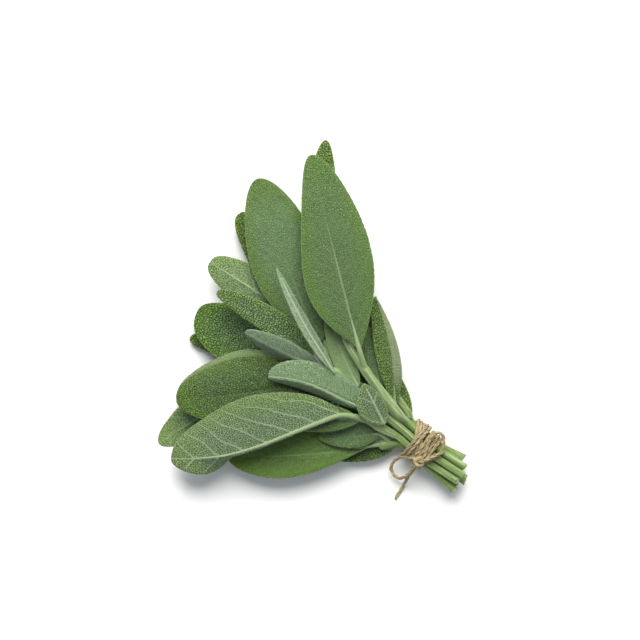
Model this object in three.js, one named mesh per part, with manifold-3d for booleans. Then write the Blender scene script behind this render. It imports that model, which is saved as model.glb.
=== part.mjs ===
// A hand-tied bunch of fresh sage, lying on its side. Millimetres, +Z up.
// Nine leafy stems fan out from one tie of twine. The source frame has the tie near the origin;
// the finished group is moved so that its box stands centred on the origin.
import * as THREE from 'three';
import Module from 'manifold-3d';

const wasm = await Module();
wasm.setup();

// Driving dimensions
const LEAF_THICKNESS = 0.6;
const ROW_SPACING = 9;
const FEWEST_ROWS = 5;
const MOST_ROWS = 8;
const HALF_STRIPS = 2;
const PLAIN_ROWS = 5;
const BASE_HALF_WIDTH = 0.7;
const TIP_HALF_WIDTH = 0.35;
const SLOPE_STEP = 0.01;
const PETIOLE_RADIUS = 0.8;
const PETIOLE_SIDES = 5;
const PETIOLE_SEGMENTS = 3;
const MIDRIB_RADIUS = 0.4;
const MIDRIB_REACH = 0.14;
const STEM_RADIUS = 1.45;
const STEM_SWELL_RADIUS = 2;
const STEM_TIP_RADIUS = 0.95;
const STEM_SIDES = 7;
const STEM_SEGMENTS = 11;
const CORE_STEM_RADIUS = 2.0;
const BUTT_TAPER_SHARE = 0.42;
const TWINE_RADIUS = 0.65;
const TWINE_SIDES = 5;
const TWINE_CLEARANCE = 0.4;
const KNOT_END_RADIUS = 0.8;
const KNOT_RADIUS = 1.4;
const KNOT_SEGMENTS = 4;

// A leaf that states nothing else: no bend, no fold, widest a little below its middle.
// Where its two halves differ, a value is a pair, left and right.
const PLAIN_LEAF = {
  arch: 0,
  bow: 0,
  late: 1,
  widest: 0.45,
  round: 0.8,
  blunt: 0.55,
  fold: [[0, 0], [0, 0]],
  turn: [0, 1],
  curl: [0, 0],
  wave: 0,
  waves: 1.3,
  stalk: PETIOLE_RADIUS,
  plain: false,
};

// The tie: its centre, the way the stems run through it and the oval that the stems fill
const TIE_CENTRE = new THREE.Vector3(-2.0, -0.7, 7.1);
const TO_LEAVES = new THREE.Vector3(-0.76, 0.65, 0).normalize();
const ACROSS = new THREE.Vector3(TO_LEAVES.y, -TO_LEAVES.x, 0);
const UP = new THREE.Vector3(0, 0, 1);
const OVAL_ACROSS = 4.7;
const OVAL_UP = 3.95;
const STRAIGHT_RUN = 7.5;
const TIE_REACH = 30;
const SWELL_REACH = 39;

const point = ([x, y, z]) => new THREE.Vector3(x, y, z);
const degrees = THREE.MathUtils.degToRad;
const mix = THREE.MathUtils.lerp;
const ofHalf = (value, hand) => (Array.isArray(value) ? value[hand] : value);

// A place given along the stems, across them and up, all from the centre of the tie
function fromTie(along, across, up) {
  return TIE_CENTRE.clone()
    .addScaledVector(TO_LEAVES, along)
    .addScaledVector(ACROSS, across)
    .addScaledVector(UP, up);
}

function closedBody(positions, triangles) {
  const mesh = new wasm.Mesh({
    numProp: 3,
    vertProperties: Float32Array.from(positions),
    triVerts: Uint32Array.from(triangles),
  });
  return new wasm.Manifold(mesh);
}

// A round rod along a curve, closed at both ends
function rod(curve, segments, sides, radiusAt) {
  const frames = curve.computeFrenetFrames(segments, false);
  const positions = [];
  const triangles = [];
  for (let i = 0; i <= segments; i += 1) {
    const t = i / segments;
    const centre = curve.getPointAt(t);
    const radius = radiusAt(t);
    for (let k = 0; k < sides; k += 1) {
      const turn = (2 * Math.PI * k) / sides;
      const p = centre.clone()
        .addScaledVector(frames.normals[i], radius * Math.cos(turn))
        .addScaledVector(frames.binormals[i], radius * Math.sin(turn));
      positions.push(p.x, p.y, p.z);
    }
  }
  for (let i = 0; i < segments; i += 1) {
    for (let k = 0; k < sides; k += 1) {
      const a = i * sides + k;
      const b = i * sides + ((k + 1) % sides);
      triangles.push(a, b, b + sides, a, b + sides, a + sides);
    }
  }
  const last = segments * sides;
  for (let k = 1; k < sides - 1; k += 1) {
    triangles.push(0, k + 1, k, last, last + k, last + k + 1);
  }
  return closedBody(positions, triangles);
}

// The midrib of a leaf: a line from base to tip, lifted by arch and bent sideways by bow
function midribAt(leaf, t) {
  const start = point(leaf.base);
  const end = point(leaf.tip);
  const run = end.clone().sub(start);
  const side = UP.clone().cross(run).normalize();
  const p = start.lerp(end, t);
  p.addScaledVector(side, leaf.bow * Math.sin(Math.PI * t ** leaf.late));
  p.z += leaf.arch * Math.sin(Math.PI * t);
  return p;
}

// Share of the full half width at t: rounded at the base, more or less blunt at the tip
function widthShare(leaf, t, hand) {
  const power = Math.log(0.5) / Math.log(ofHalf(leaf.widest, hand));
  const bulge = Math.max(Math.sin(Math.PI * t ** power), 0);
  return bulge ** mix(ofHalf(leaf.round, hand), ofHalf(leaf.blunt, hand), t);
}

// Offset of one half at share s of its width, for the fold at the midrib and the curl to the margin
function halfOffset(width, fold, curl, s, strips) {
  let out = 0;
  let rise = 0;
  for (let j = 1; j <= strips; j += 1) {
    const from = (j - 1) / strips;
    const to = Math.min(j / strips, s);
    if (to > from) {
      const angle = degrees(fold + (curl * (2 * j - 1)) / (2 * strips));
      out += (to - from) * width * Math.cos(angle);
      rise += (to - from) * width * Math.sin(angle);
    }
  }
  return [out, rise];
}

function blade(leaf) {
  const strips = leaf.plain ? 1 : HALF_STRIPS;
  const columns = 2 * strips + 1;
  const length = point(leaf.base).distanceTo(point(leaf.tip));
  const spaced = THREE.MathUtils.clamp(Math.round(length / ROW_SPACING), FEWEST_ROWS, MOST_ROWS);
  const rows = leaf.plain ? PLAIN_ROWS : spaced;
  const upper = [];
  const lower = [];
  for (let i = 0; i <= rows; i += 1) {
    const t = (1 - Math.cos((Math.PI * i) / rows)) / 2;
    const centre = midribAt(leaf, t);
    const ahead = midribAt(leaf, Math.min(t + SLOPE_STEP, 1));
    const along = ahead.sub(midribAt(leaf, Math.max(t - SLOPE_STEP, 0))).normalize();
    const side = UP.clone().cross(along).normalize();
    const normal = along.clone().cross(side);
    const least = mix(BASE_HALF_WIDTH, TIP_HALF_WIDTH, t);
    for (let j = 0; j < columns; j += 1) {
      const s = (j - strips) / strips;
      const hand = s > 0 ? 0 : 1;
      const sign = s > 0 ? 1 : -1;
      const [foldBase, foldTip] = leaf.fold[hand];
      const fold = mix(foldBase, foldTip, THREE.MathUtils.smoothstep(t, ...leaf.turn));
      const curl = leaf.curl[hand];
      const share = widthShare(leaf, t, hand);
      const full = Math.max(leaf.halves[hand] * share, least);
      const [out, rise] = halfOffset(full, fold, curl, Math.abs(s), strips);
      const wave = leaf.wave * s * s * Math.sin(2 * Math.PI * leaf.waves * t + sign);
      const p = centre.clone()
        .addScaledVector(side, sign * out)
        .addScaledVector(normal, rise + wave * share);
      const lean = s === 0 ? 0 : degrees(fold + curl * Math.abs(s));
      const facing = normal.clone().multiplyScalar(Math.cos(lean))
        .addScaledVector(side, -sign * Math.sin(lean));
      const top = p.clone().addScaledVector(facing, LEAF_THICKNESS / 2);
      const bottom = p.clone().addScaledVector(facing, -LEAF_THICKNESS / 2);
      top.z = Math.max(top.z, LEAF_THICKNESS);
      bottom.z = Math.max(bottom.z, 0);
      upper.push(top.x, top.y, top.z);
      lower.push(bottom.x, bottom.y, bottom.z);
    }
  }
  return sheet(upper, lower, rows + 1, columns);
}

// Two matching faces joined round their rim
function sheet(upper, lower, rows, columns) {
  const triangles = [];
  const under = rows * columns;
  const corner = (i, j) => i * columns + j;
  for (let i = 0; i < rows - 1; i += 1) {
    for (let j = 0; j < columns - 1; j += 1) {
      const a = corner(i, j);
      const b = corner(i, j + 1);
      const c = corner(i + 1, j + 1);
      const d = corner(i + 1, j);
      const quad = j < (columns - 1) / 2 ? [a, c, b, a, d, c] : [a, d, b, b, d, c];
      for (let k = 0; k < 6; k += 3) {
        triangles.push(quad[k], quad[k + 1], quad[k + 2]);
        triangles.push(under + quad[k], under + quad[k + 2], under + quad[k + 1]);
      }
    }
  }
  const rim = [];
  for (let j = 0; j < columns - 1; j += 1) rim.push([corner(0, j), corner(0, j + 1)]);
  for (let i = 0; i < rows - 1; i += 1) rim.push([corner(i, columns - 1), corner(i + 1, columns - 1)]);
  for (let j = columns - 1; j > 0; j -= 1) rim.push([corner(rows - 1, j), corner(rows - 1, j - 1)]);
  for (let i = rows - 1; i > 0; i -= 1) rim.push([corner(i, 0), corner(i - 1, 0)]);
  for (const [a, b] of rim) {
    triangles.push(a, b, under + b, a, under + b, under + a);
  }
  return closedBody([...upper, ...lower], triangles);
}

function stemCurve(sprig) {
  const turn = degrees(sprig.slot ?? 0);
  const across = sprig.core ? 0 : OVAL_ACROSS * Math.cos(turn);
  const up = sprig.core ? 0 : OVAL_UP * Math.sin(turn);
  const [back, cutAcross, cutUp] = sprig.cut;
  const leave = sprig.leave ?? STRAIGHT_RUN;
  return new THREE.CatmullRomCurve3([
    fromTie(-back, cutAcross, cutUp),
    fromTie(-STRAIGHT_RUN, across, up),
    fromTie(0, across, up),
    fromTie(leave, across, up),
    ...sprig.path.map(point),
  ], false, 'centripetal');
}

function petiole(leaf, stem) {
  const curve = new THREE.CatmullRomCurve3([
    stem.getPointAt(leaf.at),
    midribAt(leaf, 0),
    midribAt(leaf, MIDRIB_REACH),
  ], false, 'centripetal');
  return rod(curve, PETIOLE_SEGMENTS, PETIOLE_SIDES, (t) => mix(leaf.stalk, MIDRIB_RADIUS, t));
}

function leafyStem(sprig) {
  const stem = stemCurve(sprig);
  const thick = sprig.core ? CORE_STEM_RADIUS : STEM_RADIUS;
  const butt = sprig.butt ?? thick;
  const swell = Math.max(sprig.swell ?? STEM_SWELL_RADIUS, thick);
  const tied = TIE_REACH / stem.getLength();
  const swollen = SWELL_REACH / stem.getLength();
  const taper = (t) => {
    if (t < tied) return mix(butt, thick, Math.min(t / (tied * BUTT_TAPER_SHARE), 1));
    if (t < swollen) return mix(thick, swell, (t - tied) / (swollen - tied));
    return mix(swell, STEM_TIP_RADIUS, (t - swollen) / (1 - swollen));
  };
  let body = rod(stem, STEM_SEGMENTS, STEM_SIDES, taper);
  for (const given of sprig.leaves) {
    const leaf = { ...PLAIN_LEAF, ...given };
    body = body.add(petiole(leaf, stem)).add(blade(leaf));
  }
  return body;
}

// Every stem: its slot in the tie, where it was cut, its way to its tip, and its leaves.
// Halves are the half widths left and right of the midrib, looking from the base to the tip.
const SPRIGS = {
  sprig_crown: {
    slot: 90,
    cut: [22.8, 1.8, 4.3],
    path: [[-14, 9.6, 12.6], [-21.5, 16.6, 14.4], [-28.5, 22.5, 16.4], [-35, 28.5, 18.6]],
    leaves: [
      { at: 0.97, base: [-35.2, 27.2, 23], tip: [-58, 68.4, 28], halves: [2.6, 2.6], arch: 1.5, bow: 1.2,
        fold: [[35, 35], [35, 35]], widest: 0.4, blunt: 0.55 },
      { at: 0.98, base: [-36.8, 28, 20.5], tip: [-43.2, 34.8, 22.5], halves: [1.5, 1.5], stalk: 0.6 },
      { at: 0.95, base: [-40, 28.5, 20.5], tip: [-70.4, 43.4, 22], halves: [7.2, 4.8], arch: 2,
        fold: [[-72, -60], [10, 10]], widest: 0.5, blunt: 0.5, bow: 0.5 },
      { at: 0.93, base: [-41, 31.5, 17.5], tip: [-81.8, 58.8, 17], halves: [3.6, 6.8], arch: 3.2,
        bow: -1.0, widest: 0.46, blunt: 0.4 },
      { at: 0.78, base: [-24.4, 13.2, 18.3], tip: [-61.2, 25.6, 21], halves: [6.6, 9], arch: 2.6,
        fold: [[-64, -60], [8, 4]], bow: -2.4, late: 1.36, widest: 0.5, round: [0.45, 0.25], blunt: 0.42 },
      { at: 0.86, base: [-25.8, 21.4, 17.8], tip: [-38.4, 49, 17.7], halves: [5.2, 3.8], arch: 0.4,
        widest: [0.36, 0.45], round: 0.6, blunt: 0.6 },
      { at: 0.62, base: [-15.4, 6.6, 17.4], tip: [-23.4, 22.8, 22], halves: [7.2, 4.3], arch: 0.6,
        fold: [[16, 16], [0, 0]], widest: [0.5, 0.42], round: 0.6, blunt: 0.75 },
    ],
  },
  sprig_tall: {
    slot: 45,
    swell: 2.3,
    cut: [21, 4.6, 2.2],
    path: [[-10, 10.8, 13.8], [-16, 18.4, 17], [-22.6, 27.6, 20.2], [-29.4, 38, 21.4], [-34, 52, 18.6]],
    leaves: [
      { at: 0.68, base: [-25, 35.4, 25], tip: [-44.6, 113.4, 22], halves: [14.4, 14.6], arch: 4,
        bow: 0.3, stalk: 1.3, widest: [0.38, 0.5], round: [1.8, 0.95], blunt: [0.58, 0.53], wave: 0.7 },
      { at: 0.97, base: [-36.5, 57, 16.4], tip: [-38.4, 119.6, 11], halves: [7.4, 6.4], arch: 1.5, bow: 2,
        widest: 0.45, blunt: 0.5 },
      { at: 0.85, base: [-30, 44, 22], tip: [-35, 97, 18.4], halves: [6.5, 6.5], arch: 1.4, plain: true },
    ],
  },
  sprig_fan: {
    core: true,
    swell: 2.2,
    cut: [24.6, 1.0, 0.2],
    path: [[-18, 15.2, 10], [-26, 22.4, 11.2], [-33, 29, 13], [-40, 37, 14.8]],
    leaves: [
      { at: 0.97, base: [-42, 38.5, 15.4], tip: [-66, 104, 14], halves: [14.2, 13.8], arch: 3.6,
        widest: 0.5, round: [0.95, 0.5], blunt: [0.55, 0.48], wave: 0.8 },
      { at: 0.93, base: [-39, 39, 13.6], tip: [-61, 84, 11.4], halves: [6, 6], arch: 0.6, plain: true },
    ],
  },
  sprig_left: {
    slot: -90,
    cut: [21.6, 0.6, -4.9],
    path: [[-20, 15, 4.6], [-33, 26, 7.0], [-43, 35, 8.4], [-47.5, 43.5, 10.4]],
    leaves: [
      { at: 0.88, base: [-43.5, 32, 9], tip: [-90, 50.6, 7], halves: [14.4, 10], arch: 1.4,
        widest: [0.58, 0.54], blunt: [0.38, 0.34], wave: 0.4 },
      { at: 0.98, base: [-49.5, 48.6, 12], tip: [-84.6, 71, 11], halves: [7.8, 8.2], arch: 1.4,
        fold: [[-16, -16], [2, 2]], widest: 0.56, blunt: 0.36 },
      { at: 0.82, base: [-45, 30.5, 5.6], tip: [-105.2, -1.2, -0.8], halves: [9.6, 10.4], arch: 1.2,
        bow: -2, widest: 0.5, blunt: 0.5 },
      { at: 0.85, base: [-46, 33.5, 6], tip: [-92.8, 40.6, 2.6], halves: [5.2, 5.2], arch: 0.6,
        widest: 0.6, blunt: 0.45 },
    ],
  },
  sprig_dark: {
    slot: -135,
    cut: [23, -2.9, -2.6],
    path: [[-20, 9.6, 7], [-32, 18, 10], [-39.5, 23.4, 12.6]],
    leaves: [
      { at: 0.98, base: [-42, 24.6, 14], tip: [-98, 16.6, 10.6], halves: [12, 18], arch: 3.4, bow: 1.6,
        fold: [[0, 0], [10, 6]], curl: [0, -40], widest: 0.5, blunt: 0.44, wave: 0.5 },
      { at: 0.8, base: [-33.5, 15.5, 8], tip: [-82, -1, 5.8], halves: [7, 10.5], arch: 0.6, plain: true },
    ],
  },
  sprig_front: {
    slot: 135,
    cut: [22.4, -1.4, 3.6],
    path: [[-14.8, 4.2, 12.4], [-20.8, 7.6, 15.6], [-26.8, 9.8, 18.6]],
    leaves: [
      { at: 0.95, base: [-32.4, 10.2, 20.4], tip: [-100, -7.2, 11.2], halves: [9.8, 20.4], arch: 6,
        bow: 4.2, late: 1.5, fold: [[-84, -4], [6, 6]], turn: [0.66, 0.9], curl: [-10, -24],
        widest: 0.52, round: [0.8, 0.55], blunt: 0.42, wave: 0.6 },
      { at: 0.8, base: [-25, 8.2, 17.2], tip: [-66, 11, 17], halves: [6, 6], arch: 0.6, plain: true },
    ],
  },
  sprig_low: {
    slot: 180,
    leave: 4.8,
    cut: [23.8, -5.0, 0.6],
    path: [[-11.8, -1.2, 7.3], [-16.2, -1.8, 8.3]],
    leaves: [
      { at: 0.97, base: [-18.4, -1.8, 8.9], tip: [-77.6, -6.4, 8], halves: [8.8, 10], arch: 2.6, bow: 1.6,
        stalk: 1.1, widest: [0.64, 0.59], blunt: 0.5, wave: 0.5 },
      { at: 0.9, base: [-16.8, 2.6, 11.2], tip: [-41.2, 1.4, 13], halves: [5, 6.4], arch: 0.8,
        stalk: 1.2 },
      { at: 0.78, base: [-11.2, -3.2, 6], tip: [-38, -6.8, 4.4], halves: [3.6, 3.6], arch: 0.4 },
    ],
  },
  sprig_right: {
    slot: 0,
    swell: 1.7,
    butt: 1.95,
    cut: [18.4, 6.9, -1.0],
    path: [[-5.8, 11.2, 8.2], [-11, 18.4, 9.6], [-17.4, 28, 11.2]],
    leaves: [
      { at: 0.8, base: [-11, 14.6, 12.4], tip: [-18.8, 57.4, 16.6], halves: [6.2, 4], arch: 2.2,
        bow: -2, fold: [[14, 14], [-30, -30]], widest: [0.5, 0.36], blunt: [0.6, 0.9] },
      { at: 0.6, base: [-4.6, 8.6, 8.6], tip: [-13.4, 30.6, 8.6], halves: [4.4, 3.0], arch: 0.6 },
      { at: 0.93, base: [-17, 20.5, 13], tip: [-21.4, 45, 14.6], halves: [4.6, 4], arch: 0.6 },
      { at: 0.98, base: [-18.6, 30, 11.4], tip: [-25.5, 68, 8.6], halves: [4.4, 4.4], plain: true },
      { at: 0.55, base: [-9.4, 14.4, 7.4], tip: [-17.4, 30, 6.4], halves: [3.6, 3.6], plain: true },
    ],
  },
  sprig_under: {
    slot: -45,
    swell: 1.7,
    cut: [20.6, 4.2, -3.9],
    path: [[-14, 18, 3.4], [-25.5, 35, 3.4], [-34, 50, 3.8]],
    leaves: [
      { at: 0.97, base: [-44, 51, 4.6], tip: [-73, 90.4, 5], halves: [9.2, 8], arch: 1.6, blunt: 0.4 },
      { at: 0.98, base: [-34.5, 57, 3.2], tip: [-31, 93, -0.8], halves: [7, 7], plain: true },
      { at: 0.9, base: [-38, 52, 2.6], tip: [-55, 94, -0.6], halves: [6.6, 6.6], plain: true },
      { at: 0.68, base: [-13, 19.5, 1.8], tip: [-18.5, 52, 0.3], halves: [6.6, 5.6], widest: 0.38,
        round: 0.55, plain: true },
      { at: 0.8, base: [-27.5, 39.5, 2.4], tip: [-60, 62, 0], halves: [7, 7], plain: true },
      { at: 0.7, base: [-17.5, 21.5, 1.8], tip: [-52, 29.5, -0.4], halves: [8.5, 9.5], widest: 0.36,
        round: 0.55, plain: true },
      { at: 0.6, base: [-15, 18, 1.8], tip: [-42, 1, 0.3], halves: [6.6, 6.6], plain: true },
    ],
  },
};

// Twine: turns laid round the oval of stems, the later ones slanted over the first ones
const TURN_ACROSS = OVAL_ACROSS + STEM_RADIUS + TWINE_CLEARANCE + TWINE_RADIUS;
const TURN_UP = OVAL_UP + STEM_RADIUS + TWINE_CLEARANCE + TWINE_RADIUS;
const STEPS_PER_TURN = 14;
const TURN_PITCH = 1.42;

function turns({ count, start, slant, lift, lean }) {
  const points = [];
  for (let i = 0; i <= count * STEPS_PER_TURN; i += 1) {
    const turn = (2 * Math.PI * i) / STEPS_PER_TURN + lean;
    const raise = (lift * (1 + Math.sin(turn))) / 2;
    const across = (TURN_ACROSS + raise) * Math.cos(turn);
    const along = start + (TURN_PITCH * i) / STEPS_PER_TURN + slant * across;
    points.push(fromTie(along, across, (TURN_UP + raise) * Math.sin(turn)));
  }
  return points;
}

function twine(points, segments) {
  const curve = new THREE.CatmullRomCurve3(points, false, 'centripetal');
  return rod(curve, segments, TWINE_SIDES, () => TWINE_RADIUS);
}

function twineTie() {
  const first = turns({ count: 3.5, start: -2.9, slant: 0.62, lift: 0, lean: 2.6 });
  const second = turns({ count: 2, start: -1.0, slant: 0.03, lift: 1.15, lean: -2.2 });
  const knot = new THREE.Vector3(-1.4, -8.6, 13.1);
  const at = (...p) => knot.clone().add(point(p));
  const rightLoop = [
    at(0, 0, 0), at(2.4, 3, 1.2), at(3.8, 7.8, 1.8), at(5.4, 10.4, 1.6), at(7.4, 11.8, 1), at(9.6, 10.4, 0.6),
    at(9.8, 6.6, 0.4), at(8.6, 3.8, 0.4), at(5.6, 1.6, 0.4), at(2.2, 0.2, 0.2), at(-0.4, -0.6, 0),
  ];
  const leftLoop = [
    at(0.4, 0.2, 0), at(-3.4, 1.8, -1.2), at(-7.4, 1.8, -4.2), at(-10.2, -0.2, -7), at(-11, -2.6, -8.6),
    at(-9.8, -5.4, -9.2), at(-7.4, -6.6, -8.6), at(-4.2, -5, -5.6), at(-1.2, -1.2, -0.8), at(0.4, 0.4, 0.2),
  ];
  const longEnd = [at(0.4, 0.4, -0.4), at(-1.8, -2.6, -2.4), at(-4.2, -6, -8.2), at(-6.6, -10.6, -12.1),
    at(-9.4, -15, -12.4)];
  const hitch = [at(0.4, -0.4, 0), at(-1.6, 1.2, -0.8), at(-3.4, 3.2, -1.9)];
  const shortEnd = [at(-0.4, 0, 0.6), at(2.6, 0.8, 1.6), at(6.4, 2.6, 2), at(9.8, 4.2, 1.8)];
  const knotCore = [at(-1.4, -1.4, -0.8), at(-0.4, -0.6, 0.3), at(0.6, 0.6, 0.5), at(1.4, 1.8, 0.2)];
  const strands = [
    [first, 3.5 * STEPS_PER_TURN],
    [second, 2 * STEPS_PER_TURN],
    [rightLoop, 14],
    [leftLoop, 14],
    [longEnd, 6],
    [shortEnd, 4],
    [hitch, 3],
  ];
  const core = new THREE.CatmullRomCurve3(knotCore, false, 'centripetal');
  const bulge = (t) => mix(KNOT_END_RADIUS, KNOT_RADIUS, Math.sin(Math.PI * t));
  let body = rod(core, KNOT_SEGMENTS, STEM_SIDES, bulge);
  for (const [points, segments] of strands) body = body.add(twine(points, segments));
  return body;
}

function toMesh(name, body, material) {
  const { vertProperties, triVerts } = body.getMesh();
  const geometry = new THREE.BufferGeometry();
  geometry.setAttribute('position', new THREE.BufferAttribute(new Float32Array(vertProperties), 3));
  geometry.setIndex(new THREE.BufferAttribute(new Uint32Array(triVerts), 1));
  geometry.computeVertexNormals();
  const mesh = new THREE.Mesh(geometry, material);
  mesh.name = name;
  return mesh;
}

const leafGreen = () => new THREE.MeshStandardMaterial({ color: 0x6f8c5c, roughness: 0.8 });
const jute = () => new THREE.MeshStandardMaterial({ color: 0xb0905f, roughness: 0.9 });

const group = new THREE.Group();
group.name = 'sage_bunch';
for (const [name, sprig] of Object.entries(SPRIGS)) {
  group.add(toMesh(name, leafyStem(sprig), leafGreen()));
}
group.add(toMesh('twine_tie', twineTie(), jute()));

// The box of the finished bunch stands centred on the origin
const box = new THREE.Box3().setFromObject(group);
const middle = box.getCenter(new THREE.Vector3());
for (const mesh of group.children) {
  mesh.geometry.translate(-middle.x, -middle.y, -box.min.z);
}

export default group;
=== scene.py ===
# A hand-tied bunch of fresh sage lying on a pale table. Metres, +Z up.
# Leaves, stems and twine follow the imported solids, and the outer turns of twine are added.
# Shapes are written in millimetres, moved into the frame by TABLE_SHIFT and scaled to metres.
import math

import bpy
import numpy as np
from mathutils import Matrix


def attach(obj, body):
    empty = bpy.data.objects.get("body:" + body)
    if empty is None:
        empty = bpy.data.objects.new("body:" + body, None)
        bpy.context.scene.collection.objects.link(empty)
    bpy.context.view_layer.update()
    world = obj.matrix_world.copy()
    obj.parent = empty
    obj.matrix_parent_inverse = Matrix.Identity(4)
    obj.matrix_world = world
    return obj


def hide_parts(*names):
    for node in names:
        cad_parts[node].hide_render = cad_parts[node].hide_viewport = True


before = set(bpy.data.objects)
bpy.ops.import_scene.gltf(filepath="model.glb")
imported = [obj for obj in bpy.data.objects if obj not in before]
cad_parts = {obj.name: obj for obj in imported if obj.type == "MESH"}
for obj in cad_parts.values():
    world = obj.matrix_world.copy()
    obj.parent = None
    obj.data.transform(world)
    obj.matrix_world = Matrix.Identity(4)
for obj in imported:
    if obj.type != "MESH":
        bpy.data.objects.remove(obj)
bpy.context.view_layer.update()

MM = 0.001
TABLE_SHIFT = np.array([43.454, -47.869, 0.0])
UP = np.array([0.0, 0.0, 1.0])
CURVE_STEPS = 60
SEAM_GAP = 0.000002

# Leaf blades: thickness, how close their points are, and the least half widths at both ends
LEAF_THICKNESS = 0.42
FINE_SPACING = 0.36
HIDDEN_SPACING = 0.9
ROW_CROWDING = 1.15
END_CROWDING = 0.75
FEWEST_STRIPS = 4
BASE_HALF_WIDTH = 0.7
TIP_HALF_WIDTH = 0.35
LOWEST_MIDDLE = 0.3
BIG_HALF_WIDTH = 9.0
CREASE = 1.1

# Side veins: how far apart they leave the midrib, how they slant, bend and wobble
VEIN_SPACING = 10.4
SMALL_LEAF_SPACING = 0.55
VEIN_COTANGENT = 1.0
VEIN_SWEEP = 0.028
VEIN_WOBBLE = 0.12
WOBBLE_REACH = 9.0
VEIN_HALF_WIDTH = 0.42
ACROSS_VEIN = 0.72
FIRST_PHASE = 40.0

# The margin's small teeth and longer scallops
TOOTH_LENGTH = 1.7
TOOTH_DEPTH = 0.1
SCALLOP_LENGTH = 6.0
SCALLOP_SHARE = 0.6

# Relief of each side: its veins, the quilting between them, its midrib and its pebbles
RELIEF = {
    "upper": dict(vein=-0.12, quilt=0.14, rib=-0.34, pebble=1.2),
    "under": dict(vein=0.15, quilt=-0.10, rib=0.42, pebble=1.0),
}
RIB_HALF_WIDTH = 0.8
QUILT_SHARE = 0.36
LEAF_SWELL = 0.16
LEAF_SWELL_REACH = 11.0
PEBBLE_HEIGHT = 0.05
PEBBLE_REACH = 1.5
MARGIN_DROOP = 0.35

# Where the pale midrib fades, before and after the share of the length that a leaf states
RIB_LOSS = 0.85
RIB_FADE = (-0.12, 0.25)

# Where the painted highlight starts, a pale band standing for light on rolled rims and on halves turned
# towards the light: across from the share that a leaf states, and along from its base
PAINTED_HIGHLIGHT_ACROSS = (-0.01, 0.06)
PAINTED_HIGHLIGHT_ALONG = (0.08, 0.3)

# Leaf stalks, which run on along a raised midrib and end soon in a sunken one
PETIOLE_RADIUS = 0.8
PETIOLE_TIP_RADIUS = 0.3
PETIOLE_SIDES = 12
PETIOLE_SPACING = 0.6
MIDRIB_LIFT = 0.25
RAISED_RIB_STOPS = np.array([0.0, 0.14, 0.3, 0.5, 0.7, 0.88])
SUNKEN_RIB_STOPS = np.array([0.0, 0.08, 0.16])

# Stems
STEM_RADIUS = 1.45
CORE_STEM_RADIUS = 2.0
STEM_SWELL_RADIUS = 2.0
STEM_TIP_RADIUS = 0.95
STEM_SIDES = 32
STEM_RING_SPACING = 0.7
BUTT_TAPER_SHARE = 0.42
TIE_REACH = 30.0
SWELL_REACH = 39.0
JOINT_BULGE = 0.16
JOINT_REACH = 1.3

# The rings of a stem's cut face, and those that close its tip
CUT_SHARES = np.array([0.0, 0.3, 0.6, 0.82, 0.95])
CUT_SLANT = (0.15, 0.4)
TIP_SHARES = np.array([0.9, 0.6, 0.0])
TIP_LENGTHS = np.array([0.3, 0.6, 0.75])

# The tie: its centre, the way the stems run through it and the oval that they fill
TIE_CENTRE = np.array([-2.0, -0.7, 7.1])
TO_LEAVES = np.array([-0.76, 0.65, 0.0]) / math.hypot(0.76, 0.65)
ACROSS = np.array([TO_LEAVES[1], -TO_LEAVES[0], 0.0])
OVAL_ACROSS = 4.7
OVAL_UP = 3.95
STRAIGHT_RUN = 7.5

# Twine
TWINE_RADIUS = 0.65
TWINE_CLEARANCE = 0.4
PLIES = 3
PLY_RADIUS = 0.38
PLY_OFFSET = 0.32
PLY_PITCH = 8.0
LOWEST_PLY = 0.46
PLY_SIDES = 9
PLY_RING_SPACING = 0.3
PLY_UNEVENNESS = 0.12

# Each piece reads its own stretch of a pattern: the step between stretches and their number
LEAF_STRETCH = (400.0, 23)
STEM_STRETCH = (30.0, 17)
TWINE_STRETCH = (90.0, 13)

# Seeds of the random draws
LEAF_SEED_STEP = 11
FIRST_STEM_SEED = 100
FIRST_TWINE_SEED = 300

# Table, light and camera, in metres
TABLE_SIZE = 6.0
TABLE_COLOUR = (0.94, 0.94, 0.94)
SKY_COLOUR = (0.92, 0.98, 1.05, 1.0)
SKY_STRENGTH = 0.40
LIGHT_PLACE = (0.0, 1.42, 1.75)
LIGHT_TILT = -39.0
LIGHT_SIZE = 2.0
LIGHT_POWER = 90.0
LIGHT_COLOUR = (1.0, 0.985, 0.94)
CAMERA_HEIGHT = 3.0
SENSOR_WIDTH = 36.0
FAR_END_OF_VIEW = 20.0
PICTURE_WIDTH = 0.256
PICTURE_CENTRE = (0.00265, 0.00013)

# A leaf that states nothing else: no bend, no fold, widest a little below its middle.
# Where its two halves differ, a value is a pair, left and right.
PLAIN_LEAF = dict(
    arch=0.0, bow=0.0, late=1.0, widest=0.45, round=0.8, blunt=0.55, fold=((0, 0), (0, 0)), turn=(0, 1),
    curl=(0, 0), wave=0.0, waves=1.3, stalk=PETIOLE_RADIUS, hidden=False, tone="fresh", face="upper",
    rib=0.25, painted_highlight=((0, 0), (0, 0)),
)

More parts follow.
